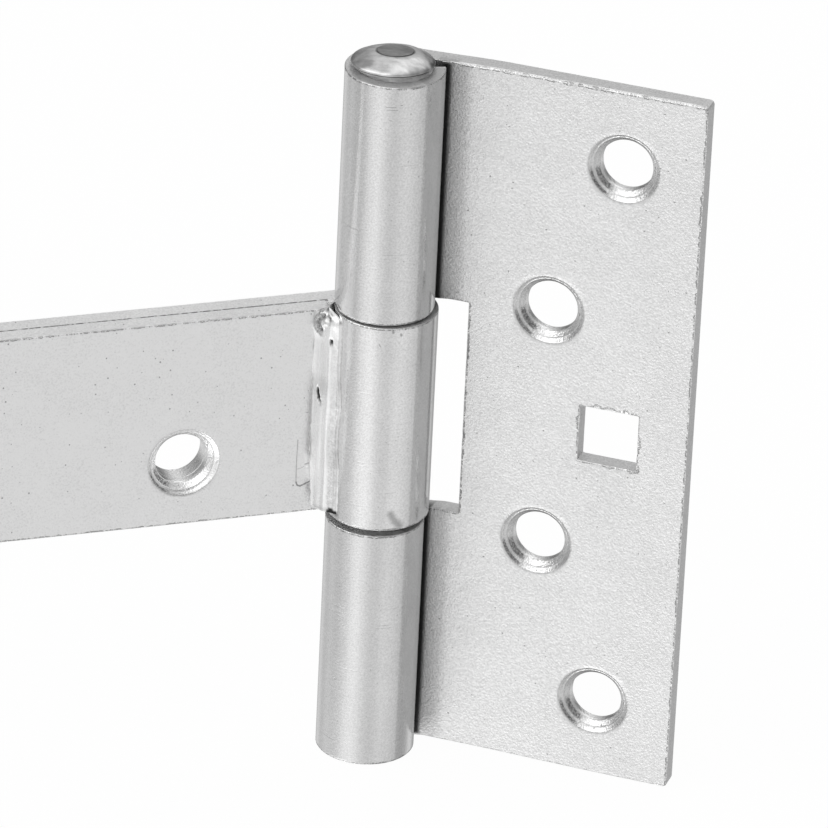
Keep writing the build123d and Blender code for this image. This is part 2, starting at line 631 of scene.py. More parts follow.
def hand_over(piece: bpy.types.Object, finish: bpy.types.Material, node: str, body: str) -> None:
    """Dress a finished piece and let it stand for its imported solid.

    Args:
        piece: The piece, in place and in metres.
        finish: The material that covers it.
        node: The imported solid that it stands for.
        body: The body that it rides on.
    """
    piece.data.materials.clear()
    piece.data.materials.append(finish)
    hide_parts(node)
    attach(piece, body)
    LOG.info("%s: %d faces", piece.name, len(piece.data.polygons))


@dataclass
class RolledSheet(SheetPiece):
    """A sheet whose near end is rolled forward into an eye around the pin.

    Attributes:
        centre: Middle of the eye.
        radius: Outer radius of the eye.
        gap: Gap between the end of the roll and the sheet's front.
        roll_steps: Number of flats that the roll is divided into.
    """

    centre: Vector = field(default_factory=Vector)
    radius: float = BORE + SHEET
    gap: float = 1.28
    roll_steps: int = 102

    @property
    def sweep(self) -> float:
        """Angle that the roll turns through, in radians."""
        start = math.asin(min(1.0, (self.back - self.centre.y) / self.radius))
        lip = math.asin((self.front - self.gap - self.centre.y) / self.radius)
        return 2 * math.pi + lip - start

    def roll(self, piece: bpy.types.Object) -> None:
        """Spin the near edge around the eye's middle, forward and back up to the sheet."""

        def at_near_end(edge: bmesh.types.BMEdge) -> bool:
            return edge.is_boundary and all(abs(point.co.x - self.near) < TINY for point in edge.verts)

        with editing(piece, Part.EDGE):
            choose(piece, Part.EDGE, at_near_end)
            bpy.ops.mesh.spin(
                steps=self.roll_steps,
                angle=-self.side * self.sweep,
                center=self.centre,
                axis=(0.0, 0.0, 1.0),
            )

    def shape(self, piece: bpy.types.Object) -> None:
        """Open the holes and roll the eye."""
        super().shape(piece)
        self.roll(piece)

    def edge_distance(self, point: Vector) -> float:
        """Distance to the ends of the eye and the far end of the sheet."""
        return min(self.half_height - abs(point.z), abs(point.x - self.far))

    def depth(self, point: Vector) -> float:
        """Distance of a point on a sheared wall from the nearer face of the sheet or the roll."""
        if self.rolled(point) < 0.5:
            return super().depth(point)
        away = math.hypot(point.x - self.centre.x, point.y - self.centre.y)
        return min(abs(self.radius - away), abs(away - self.radius + SHEET))

    def rolled(self, point: Vector) -> float:
        """Smoothly 1 on the roll and 0 on the flat sheet."""
        if point.y < self.front - 0.05:
            return 1.0
        return 1.0 - ramp(self.side * point.x, -0.5, 2.5)

    def deep_shade(self, point: Vector) -> float:
        """Painted shade: dark in the seam between the roll's end and the sheet, and inside the roll behind
        its lip.
        """
        across = self.side * point.x
        in_seam = ramp(point.y, 3.2, 3.75) * within(across, 4.4, 5.2, 5.9, 6.5)
        behind_lip = 1.0 if math.hypot(point.x, point.y) < BORE + 0.6 and point.y > 1.5 else 0.0
        if self.half_height - abs(point.z) < 0.2:
            return 0.0
        return max(in_seam if point.y < self.front + 0.4 else 0.0, behind_lip)


@dataclass
class Leaf(RolledSheet):
    """The leaf: two barrels, the notch for the eye, four screw holes and the square hole.

    Attributes:
        notch_edge: Place of the notch's inner edge along X.
        half_notch: Half the notch's height.
        square_middle: Place of the square hole's middle along X.
        half_square: Half the side of the square hole.
        front_part: Depth from the front face that its front edges take up.
        border: Width of the border in which a point belongs to an edge.
    """

    notch_edge: float = 10.2
    half_notch: float = 15.5
    square_middle: float = 30.15
    half_square: float = 4.0
    front_part: float = 1.3
    border: float = 2.0
    corner: float = 0.5

    def cut_window(self, piece: bpy.types.Object, low: float, high: float, half: float) -> None:
        """Take out the cells between two places along X, up to half a height above and below the middle."""

        def inside(face: bmesh.types.BMFace) -> bool:
            at = middle(face)
            return low < at.x < high and abs(at.z) < half

        with editing(piece, Part.FACE):
            choose(piece, Part.FACE, inside)
            bpy.ops.mesh.delete(type="FACE")

    def line_up(self, point: Vector) -> Vector:
        """Shift the columns of cells that border the notch and the square hole onto their sides."""
        left = self.square_middle - self.half_square
        for edge in (self.notch_edge, left, left + 2 * self.half_square):
            column = round(edge / self.cell) * self.cell
            if abs(point.x - column) < TINY:
                point.x = edge
        return point

    def shape(self, piece: bpy.types.Object) -> None:
        """Cut the notch and the square hole, then drill and roll."""
        move_points(piece, self.line_up)
        left = self.square_middle - self.half_square
        right = self.square_middle + self.half_square
        for low, high, half in ((-1.0, self.notch_edge, self.half_notch), (left, right, self.half_square)):
            self.cut_window(piece, low, high, half)
        super().shape(piece)

    def settle(self, point: Vector) -> Vector:
        """Draw the barrels and the sheet beside them a little askew, as rolling left them."""
        on_sheet = point.y > self.front - 0.1
        near_roll = 1.0 - ramp(point.x, 0.0, 14.0) if on_sheet else 1.0
        up = min(1.0, max(0.0, (point.z - self.half_notch) / (self.half_height - self.half_notch)))
        lift = -0.38 * near_roll * up
        beside = within(point.x, 5.2, 8.0, 11.0, 16.0) if on_sheet else 0.0
        if point.z > 0:
            lift += 0.25 * beside * (1.0 - ramp(point.z, self.half_notch, 24.0))
        else:
            lift += 0.28 * beside * (1.0 - ramp(-point.z, self.half_notch, 24.0))
            low_edge = within(point.x, 5.0, 7.0, 12.0, 34.0) if on_sheet else 0.0
            lift += (0.06 + 0.24 * low_edge) * ramp(-point.z, 42.0, self.half_height)
        return point + Vector((0.0, 0.0, lift))

    def edge_distance(self, point: Vector) -> float:
        """Distance to the outline, the notch or the square hole, whichever is nearest."""
        notch = Vector((max(0.0, point.x - self.notch_edge), max(0.0, abs(point.z) - self.half_notch)))
        beside = abs(point.x - self.square_middle) - self.half_square
        square = Vector((max(0.0, beside), max(0.0, abs(point.z) - self.half_square)))
        return min(super().edge_distance(point), notch.length, square.length)

    def upright(self, point: Vector) -> float:
        """1 where the nearest edge of the outline, the notch or the square hole stands upright."""
        beside = abs(point.x - self.square_middle) - self.half_square
        over = abs(point.z) - self.half_square
        past = point.x - self.notch_edge
        above = abs(point.z) - self.half_notch
        gaps = (
            (abs(point.x - self.far), 1.0),
            (self.half_height - abs(point.z), 0.0),
            (max(abs(past), above), 1.0),
            (max(abs(above), past), 0.0),
            (max(abs(beside), over), 1.0),
            (max(abs(over), beside), 0.0),
        )
        return min(gaps)[1]

    def nick_strength(self, point: Vector) -> float:
        """Strong on the front edges at the top, in places on the others and light on the rest."""
        if point.y > self.front + self.front_part and self.rolled(point) < 0.5:
            return 0.15
        if self.rolled(point) > 0.5:
            return 0.3
        if point.z > self.half_height - self.border:
            return 0.62 - 0.15 * ramp(point.x, 33.0, 36.0)
        if point.x > self.far - self.border:
            return 0.45 + 0.4 * ramp(abs(point.z - 36.0), 7.0, 2.0)
        if point.z < -self.half_height + self.border:
            return 0.15
        across = point.x - self.square_middle
        if max(abs(across), abs(point.z)) < self.half_square + 1.5:
            if point.z > self.half_square - 0.1 and across < self.half_square:
                return 0.2 + ramp(across, -3.2, -2.0)
            if across < 0:
                return 0.2 + 0.8 * within(point.z, -2.0, -0.5, 2.6, 3.4)
            return 1.1 - 0.9 * ramp(point.z, 0.4, 1.2)
        return 0.6

    def edge_width(self, point: Vector) -> float:
        """Wide on the front of the top edge, narrow elsewhere."""
        in_front = point.y < self.front + self.front_part
        at_top = point.z > self.half_height - self.border and point.x > 7.0
        return self.edge_round if in_front and at_top else NARROW_EDGE

    def shade(self, point: Vector) -> float:
        """Painted shade and reflection: grey on the front beside the barrels, and on the side of the
        barrels that faces it.
        """
        if self.rolled(point) > 0.5:
            bearing = compass(point.x, point.y)
            return max(ramp(bearing, 325.0, 328.5), 1.0 - ramp(bearing, 20.0, 24.0))
        if point.y > self.front + 0.1:
            return 0.0
        return 1.0 - ramp(point.x, 7.4, 11.0)


@dataclass
class Strap(RolledSheet):
    """The arm's back strip with the eye that turns on the pin."""

    def deep_shade(self, point: Vector) -> float:
        """Painted shade: dark behind the roll's end, and on the eye below the weld where the gap there lies
        in shade.
        """
        from_axis = point - self.centre
        if math.hypot(from_axis.x, from_axis.y) < self.radius - SHEET + 0.5 and point.y > 1.5:
            return 1.0
        if point.y > self.front - 0.5:
            return 0.0
        around = within(compass(from_axis.x, from_axis.y), 182.0, 185.0, 200.0, 204.0)
        return around * within(point.z, -14.45, -14.15, -13.6, -13.3)

    def seam(self, point: Vector) -> float:
        """Distance from the doubler's back along the strap's edges."""
        if point.x > -6.5:
            return NO_SEAM
        return abs(point.y - self.front) + self.half_height - abs(point.z)

    def shade(self, point: Vector) -> float:
        """Painted shade and reflection: grey on the eye beside the weld and on its far side."""
        if point.y > self.front - 0.5:
            return 0.0
        bearing = compass(point.x - self.centre.x, point.y - self.centre.y)
        beside_weld = 0.85 * within(bearing, 190.0, 194.0, 205.0, 210.0)
        return max(beside_weld, ramp(bearing, 288.0, 292.0))

    def settle(self, point: Vector) -> Vector:
        """Lift the eye a little, as rolling left it."""
        share = ramp(point.x, -3.0, 1.0) if point.y > self.front - 0.1 else 1.0
        return point + Vector((0.0, 0.0, ARM_LIFT + (EYE_LIFT - ARM_LIFT) * share))


@dataclass
class Doubler(SheetPiece):
    """The arm's front strip, which ends square just short of the eye."""

    def seam(self, point: Vector) -> float:
        """Distance from the strap's front along the doubler's edges."""
        return abs(self.back - point.y) + self.half_height - abs(point.z)

    def settle(self, point: Vector) -> Vector:
        """Keep level with the strap."""
        return point + Vector((0.0, 0.0, ARM_LIFT))

    def nick_strength(self, point: Vector) -> float:
        """Strong on the front edges and light on the hidden back."""
        return 0.35 if point.y < self.front + 1.0 else 0.1


def between(points: Table, z: float) -> float:
    """Value at a height on a line through points of height and value, listed upwards."""
    if z <= points[0][0]:
        return points[0][1]
    for (low, first), (high, second) in zip(points, points[1:]):
        if z <= high:
            return first + (second - first) * (z - low) / (high - low)
    return points[-1][1]


@dataclass
class WeldBead:
    """The weld in the corner between the doubler and the eye, with its ripples, toes and crater.

    Attributes:
        arm_toe: Place along the arm of the bead's toe on the doubler, by height.
        eye_toe: Place across the arm of the bead's toe on the eye, by height.
        strip: Darkness of the painted shade on the strip along its toe on the doubler, by height.
        width: Distance between its toes.
        plain_height: Height at which the toes lie where they do on the whole.
        crown: How far it stands out past the straight line between its toes.
        bottom: Place of its lower end.
        shoulder: Height above which its upper end rounds in.
        top: Place of its upper end.
        flank_points: Points across its free face.
        back_points: Points across its hidden face.
        rows: Rows of cells from its lower to its upper end.
        doubler_end: Place of the doubler's end, which it is welded to.
        heart: Middle of its section, which its upper end rounds in to.
        crater_share: Place of the crater's middle across the free face.
        crater_height: Height of the crater's middle.
        slack: Gap between its hidden face and the metal that it joins.
    """

    arm_toe: Table = (
        (-14.1, -8.4), (-11.9, -8.6), (-8.9, -8.85), (-6.6, -9.15), (-4.4, -9.3),
        (-1.4, -9.15), (5.2, -9.07), (11.0, -8.96), (12.5, -9.25), (14.4, -8.8),
    )
    eye_toe: Table = (
        (-11.5, -2.65), (-7.0, -2.6), (-4.4, -2.05), (-1.4, -2.05), (1.8, -2.5),
        (3.9, -2.36), (6.0, -2.0), (8.1, -1.86), (14.4, -1.9),
    )
    # Painted shade along the toe on the doubler, by height.
    strip: Table = (
        (-13.5, 0.7), (-11.0, 0.75), (-10.3, 0.25), (-7.0, 0.3),
        (-6.4, 0.8), (2.8, 0.7), (4.8, 0.5), (6.2, 0.0),
    )
    width: float = 3.88
    plain_height: float = 4.6
    crown: float = 0.5
    bottom: float = -13.6
    shoulder: float = 13.9
    top: float = 15.15
    flank_points: int = 56
    back_points: int = 20
    rows: int = 170
    doubler_end: float = -6.87
    heart: tuple[float, float] = (-7.3, 0.9)
    crater_share: float = 0.49
    crater_height: float = 13.4
    slack: float = 0.02

    def toes(self, z: float) -> tuple[Vector, Vector]:
        """Ends of the bead's section on the arm and on the eye at a height."""
        arm_x = between(self.arm_toe, z)
        drop = between(self.eye_toe, z)
        sunk = 0.03
        return Vector((arm_x, ARM_BACK - 2 * SHEET + sunk, z)), Vector((on_eye(drop) + sunk, drop, z))

    def free_face(self, share: float, z: float) -> Vector:
        """Place on the bead's free face.

        Args:
            share: 0 at the arm, 1 at the eye.
            z: Height along the bead.

        Returns:
            The place, with the bead's ripples.
        """
        start, end = self.toes(z)
        first, last = self.toes(self.plain_height)
        first.z = last.z = z
        run = last - first
        outward = Vector((run.y, -run.x, 0.0)).normalized()
        if outward.y > 0:
            outward.negate()
        base = first + run * share + (start - first) * (1.0 - share) ** 4 + (end - last) * share**4
        swell = (4.0 * share * (1.0 - share)) ** 0.8
        low = 1.0 - ramp(z, 3.0, 6.0)
        flank = (0.1 + 0.28 * low) * ramp(share, 0.04, 0.16) * (1.0 - share)
        ridge = 0.1 * bump(share, 0.66, 0.07) + 0.06 * bump(share, 0.93, 0.03)
        drawn = Vector((share * 5.0, 0.0, z * 0.1))
        ragged = 0.07 * roughly(Vector((share * 4.0, 0.0, z)), 0.6, 2.0) * (1.0 - swell)
        height = self.crown * swell + flank + ridge + ragged + 0.02 * swell * roughly(drawn, 0.5, 4.0)
        height += self.crater(share, z) + self.holes(share, z)
        return base + outward * height

    def around_crater(self, share: float, z: float) -> tuple[float, float]:
        """Distance from the crater's middle, and how fully its curled side lies in that direction."""
        across = (share - self.crater_share) * self.width
        up = z - self.crater_height
        return math.hypot(across, up), within(compass(across, up), 20.0, 75.0, 236.0, 262.0)

    def crater(self, share: float, z: float) -> float:
        """Height of the curled rim and the hollow of the crater at the bead's top."""
        away, side = self.around_crater(share, z)
        uneven = 0.8 + 0.5 * roughly(Vector((share * self.width, 0.0, z)), 0.5, 2.0)
        rim = 0.12 * bump(away, 1.6, 0.14)
        hollow = -0.36 * bump(away, 1.12, 0.36) * uneven
        curl = 0.1 * bump(away, 0.4, 0.2)
        drop = 0.1 * self.blot((share, z), (0.84, 13.7), 0.4, 0.5)
        return (rim + hollow + curl) * side + drop

    def blot(self, at: tuple[float, float], middle: tuple[float, float], wide: float, high: float) -> float:
        """Soft spot on the free face, 1 at its middle, with its width and height in millimetres."""
        return bump(at[0], middle[0], wide / self.width) * bump(at[1], middle[1], high)

    def holes(self, share: float, z: float) -> float:
        """Depth of the pit and the crack."""
        pit = self.blot((share, z), (0.7, 11.25), 0.15, 0.34)
        line = 0.31 + 0.05 * (4.05 - z) + 0.06 * roughly(Vector((0.0, 0.0, z)), 0.4, 5.0)
        crack = bump(share, line, 0.14 / self.width) * within(z, 1.9, 2.4, 3.6, 4.5)
        return -0.4 * max(pit, crack)

    def deep_shade(self, share: float, z: float) -> float:
        """Painted shade: dark in the holes, around the crater, along the toes and in the hollow at the
        bead's foot.
        """
        away, side = self.around_crater(share, z)
        at = (share, z)
        outline = 0.75 * bump(away, 1.78, 0.1) * side
        toe = 0.6 * self.blot(at, (0.03, 9.6), 0.1, 0.8)
        end = 0.7 * bump(z, -13.2, 0.12) * within(share, 0.3, 0.4, 0.8, 0.9)
        edge = 0.5 * (self.blot(at, (0.19, -4.9), 0.12, 1.5) + self.blot(at, (0.1, -11.6), 0.3, 1.0))
        ragged = 0.3 * roughly(Vector((4.0 * share, 0.0, z)), 0.4)
        foot = 1.0 - ramp(math.hypot((share - 0.87) / 0.13, (z + 13.6) / 0.7) + ragged, 0.8, 1.05)
        return min(1.0, max(-5.0 * self.holes(share, z), outline, toe, end, edge, foot))

    def shade(self, share: float, z: float) -> float:
        """Painted shade and reflection: grey in the crater's hollow, on the strip beside the doubler and on
        the side next to the eye.
        """
        away, side = self.around_crater(share, z)
        hollow = 1.5 * bump(away, 1.14, 0.42) * side
        ragged = 0.05 * roughly(Vector((0.0, 0.0, z)), 0.7, 3.0)
        strip = between(self.strip, z) * (1.0 - ramp(share + ragged, 0.14, 0.19))
        held = (0.4 - 0.2 * ramp(z, 1.0, 5.0)) * (1.0 - ramp(z, 10.5, 12.5))
        beside_eye = held * within(share, 0.7, 0.76, 0.94, 0.98)
        return min(1.0, max(hollow, strip, beside_eye))

    def hidden_face(self, share: float, z: float) -> Vector:
        """Place on the hidden face, from the eye back to the arm through the corner."""
        start, end = self.toes(z)
        seam = ARM_BACK - SHEET - self.slack
        at_root, at_corner, at_foot = 0.5, 0.75, 0.9
        if share < at_root:
            rise = end.y + (seam - end.y) * share / at_root
            return Vector((on_eye(rise, self.slack), rise, z))
        corner = Vector((self.doubler_end, seam, z))
        foot = Vector((self.doubler_end, ARM_BACK - 2 * SHEET + self.slack, z))
        if share < at_corner:
            root = Vector((on_eye(seam, self.slack), seam, z))
            return root.lerp(corner, (share - at_root) / (at_corner - at_root))
        if share < at_foot:
            return corner.lerp(foot, (share - at_corner) / (at_foot - at_corner))
        return foot.lerp(start + Vector((0.0, self.slack, 0.0)), (share - at_foot) / (1.0 - at_foot))

    def build(self, finish: bpy.types.Material) -> None:
        """Draw a tube along the corner, shape it into the bead and dress it."""
        around = self.flank_points + self.back_points
        clear_selection()
        bpy.ops.mesh.primitive_cylinder_add(
            vertices=around,
            radius=1.0,
            depth=self.top - self.bottom,
            end_fill_type="NGON",
            location=(0.0, 0.0, (self.top + self.bottom) / 2),
        )
        piece = started("weld_run")
        with editing(piece, Part.EDGE):
            choose(piece, Part.EDGE, lambda edge: abs(edge.verts[0].co.z - edge.verts[1].co.z) > 1.0)
            bpy.ops.mesh.subdivide(number_cuts=self.rows - 1)
            bpy.ops.mesh.select_mode(type=Part.FACE.value)
            choose(piece, Part.FACE, lambda face: len(face.verts) > 4)
            bpy.ops.mesh.inset(thickness=0.25, depth=0.0)

        # Painted deep shade and painted shade at each point of the free face; none on the hidden face.
        values: dict[str, list[float]] = {"deep_shade": [], "shade": []}

        def to_bead(point: Vector) -> Vector:
            angle = math.atan2(point.y, point.x) % (2 * math.pi)
            number = angle / (2 * math.pi) * around
            inner = math.hypot(point.x, point.y) < 0.9
            if number < self.flank_points:
                share = number / self.flank_points
                at = self.free_face(share, point.z)
                values["deep_shade"].append(self.deep_shade(share, point.z))
                values["shade"].append(self.shade(share, point.z))
            else:
                share = (number - self.flank_points) / self.back_points
                at = self.hidden_face(share, point.z)
                values["deep_shade"].append(0.0)
                values["shade"].append(0.0)
            heart = Vector((*self.heart, point.z))
            if point.z > self.shoulder:
                rise = (point.z - self.shoulder) / (self.top - self.shoulder)
                at = heart.lerp(at, max(0.25, math.sqrt(1.0 - 0.94 * rise * rise)))
            if inner:
                at = heart.lerp(at, 0.5)
                at.z += math.copysign(0.1, point.z)
            return at

        move_points(piece, to_bead)
        turn_outwards(piece)
        for name, value in values.items():
            piece.data.attributes.new(name, "FLOAT", "POINT").data.foreach_set("value", value)
        place(piece, ARM_TURN, 60.0)
        hand_over(piece, finish, "weld_bead", ARM_BODY)


@dataclass
class HingePin:
    """The pin with its riveted head, which leans towards the back of the leaf.

    Attributes:
        segments: Flats around the pin.
        bottom: Place of its lower end.
        neck: Height from which the head's forming moved it.
        seat: Height of the barrel's top, which the head sits on.
        pivot: Height of the middle that the head leans about.
        disc_foot: Height above which the disc stands.
        lean: How far the head leans, in degrees.
        lean_azimuth: Direction that it leans in, in degrees from +X.
        rim_shift: How far the rim of the head sits to one side of the pin's axis.
        disc_shift: How far the head's middle disc does.
    """

    segments: int = 144
    bottom: float = -50.0
    neck: float = 49.5
    seat: float = 49.63
    pivot: float = 50.0
    disc_foot: float = 51.5
    lean: float = 7.0
    lean_azimuth: float = 107.9
    rim_shift: float = 0.36
    disc_shift: float = 0.1

    def profile(self) -> list[tuple[float, float]]:
        """Radius and height of each ring, from the lower end to the top of the head."""
        rings = [
            (1.8, self.bottom), (PIN_RADIUS - 0.5, self.bottom), (PIN_RADIUS, self.bottom + 0.5),
            (PIN_RADIUS, -20.0), (PIN_RADIUS, 20.0), (PIN_RADIUS, 49.4),
            (4.3, self.seat), (4.92, self.seat), (4.98, self.seat + 0.06),
            (5.08, self.seat + 0.14), (5.18, self.seat + 0.24), (5.26, self.seat + 0.36),
            (5.28, 50.08), (5.2, 50.13), (5.36, 50.16),
            (5.46, 50.21), (5.5, 50.28), (5.5, 50.37),
            (5.45, 50.48), (5.34, 50.6), (5.14, 50.76),
        ]
        rim, disc, steps = 5.14, 2.48, 14
        for step in range(1, steps + 1):
            radius = rim - (rim - disc) * step / steps
            rings.append((radius, 51.6 - 0.84 * ((radius - disc) / (rim - disc)) ** 1.8))
        rings += [
            (2.42, 51.6), (2.4, 51.66), (2.36, 51.7), (2.28, 51.72), (1.9, 51.74),
            (1.4, 51.77), (0.9, 51.79), (0.4, 51.8), (0.15, 51.8),
        ]
        return rings

    def build(self, finish: bpy.types.Material) -> None:
        """Draw the pin up from a circle, ring by ring, and dress it."""
        rings = self.profile()
        clear_selection()
        bpy.ops.mesh.primitive_circle_add(
            vertices=self.segments,
            radius=rings[0][0],
            fill_type="NGON",
            location=(0.0, 0.0, rings[0][1]),
        )
        piece = started("riveted_pin")
        with editing(piece, Part.EDGE):
            choose(piece, Part.EDGE, lambda edge: True)
            for (radius, height), (wider, higher) in zip(rings, rings[1:]):
                rise = {"value": (0.0, 0.0, higher - height)}
                bpy.ops.mesh.extrude_region_move(TRANSFORM_OT_translate=rise)
                scale = wider / radius
                bpy.ops.transform.resize(value=(scale, scale, 1.0), center_override=(0.0, 0.0, 0.0))
            bpy.ops.mesh.edge_face_add()
        turn_outwards(piece)
        # Painted shade in the head's crease, around its disc and on its sides, for the finish.
        store(piece, "deep_shade", self.deep_shade)
        store(piece, "disc", self.disc)
        move_points(piece, self.settle)
        place(piece, 0.0, 40.0)
        hand_over(piece, finish, "hinge_pin", LEAF_BODY)

    def settle(self, point: Vector) -> Vector:
        """Lean the head over, push it off the axis and leave the marks of the hammer on it."""
        if point.z < self.neck:
            return point
        out = Vector((point.x, point.y, 0.0))
        rim = ramp(out.length, 4.6, 5.4)
        crown = ramp(out.length, 2.6, 3.4) * (1.0 - rim)
        dent = (0.12 * roughly(point, 2.3, 6.0) - 0.02) * rim
        point += out.normalized() * dent
        point.z += 0.06 * crown * roughly(point, 1.3, 8.0)
        outer = ramp(out.length, 3.0, 5.2)
        risen = ramp(point.z, self.seat, self.seat + 0.2)
        azimuth = math.radians(self.lean_azimuth)
        aside = Vector((-math.sin(azimuth), math.cos(azimuth), 0.0))
        back = Vector((math.cos(azimuth), math.sin(azimuth), 0.0))
        pivot = Vector((0.0, 0.0, self.pivot))
        lean = Matrix.Rotation(math.radians(self.lean * (1.0 - 0.36 * outer) * risen), 3, aside)
        point = pivot + lean @ (point - pivot)
        point += aside * (self.disc_shift + (self.rim_shift - self.disc_shift) * outer) * risen
        point += back * 0.34 * (1.0 - outer) * risen
        point.z = max(point.z, self.seat)
        return point

    def disc(self, point: Vector) -> float:
        """Whether a point of the upright head is on the middle disc."""
        return 1.0 - ramp(math.hypot(point.x, point.y), 2.44, 2.52) if point.z > self.disc_foot else 0.0

    def deep_shade(self, point: Vector) -> float:
        """Painted shade: dark in the crease under the dome, around the disc of the upright head (most on
        its front), and on the dome's left and right sides.
        """
        radius = math.hypot(point.x, point.y)
        crease = bump(point.z, 50.13, 0.07)
        ring = bump(radius, 2.47, 0.09) if point.z > self.disc_foot else 0.0
        bearing = compass(point.x, point.y)
        front = 0.5 - 0.5 * math.cos(math.radians(bearing - self.lean_azimuth))
        uneven = 0.5 + 0.7 * roughly(point, 0.8, 5.0)
        left = within(bearing, 175.0, 195.0, 238.0, 258.0) * ramp(radius, 3.0, 3.8)
        right = ramp(math.cos(math.radians(bearing - 350.0)), 0.75, 0.97) * ramp(radius, 4.3, 5.2)
        side_shade = max(0.0, 0.3 * left * uneven, 0.8 * right * uneven) if point.z > self.pivot else 0.0
        return min(1.0, crease + ring * (0.15 + 0.8 * front) + side_shade)


@dataclass(frozen=True)
class Value:
    """What a node puts out. Numbers can be added, subtracted and multiplied with the usual signs."""

    graph: "Graph"
    socket: bpy.types.NodeSocket

    def __add__(self, other: object) -> "Value":
        """Sum of two numbers."""
        return self.graph.math("ADD", self, other)

    def __sub__(self, other: object) -> "Value":
        """Difference of two numbers."""
        return self.graph.math("SUBTRACT", self, other)

    def __rsub__(self, other: object) -> "Value":
        """What is left of a plain number."""
        return self.graph.math("SUBTRACT", other, self)

    def __mul__(self, other: object) -> "Value":
        """Product of two numbers."""
        return self.graph.math("MULTIPLY", self, other)

    def __rtruediv__(self, other: object) -> "Value":
        """A plain number divided by this one."""
        return self.graph.math("DIVIDE", other, self)


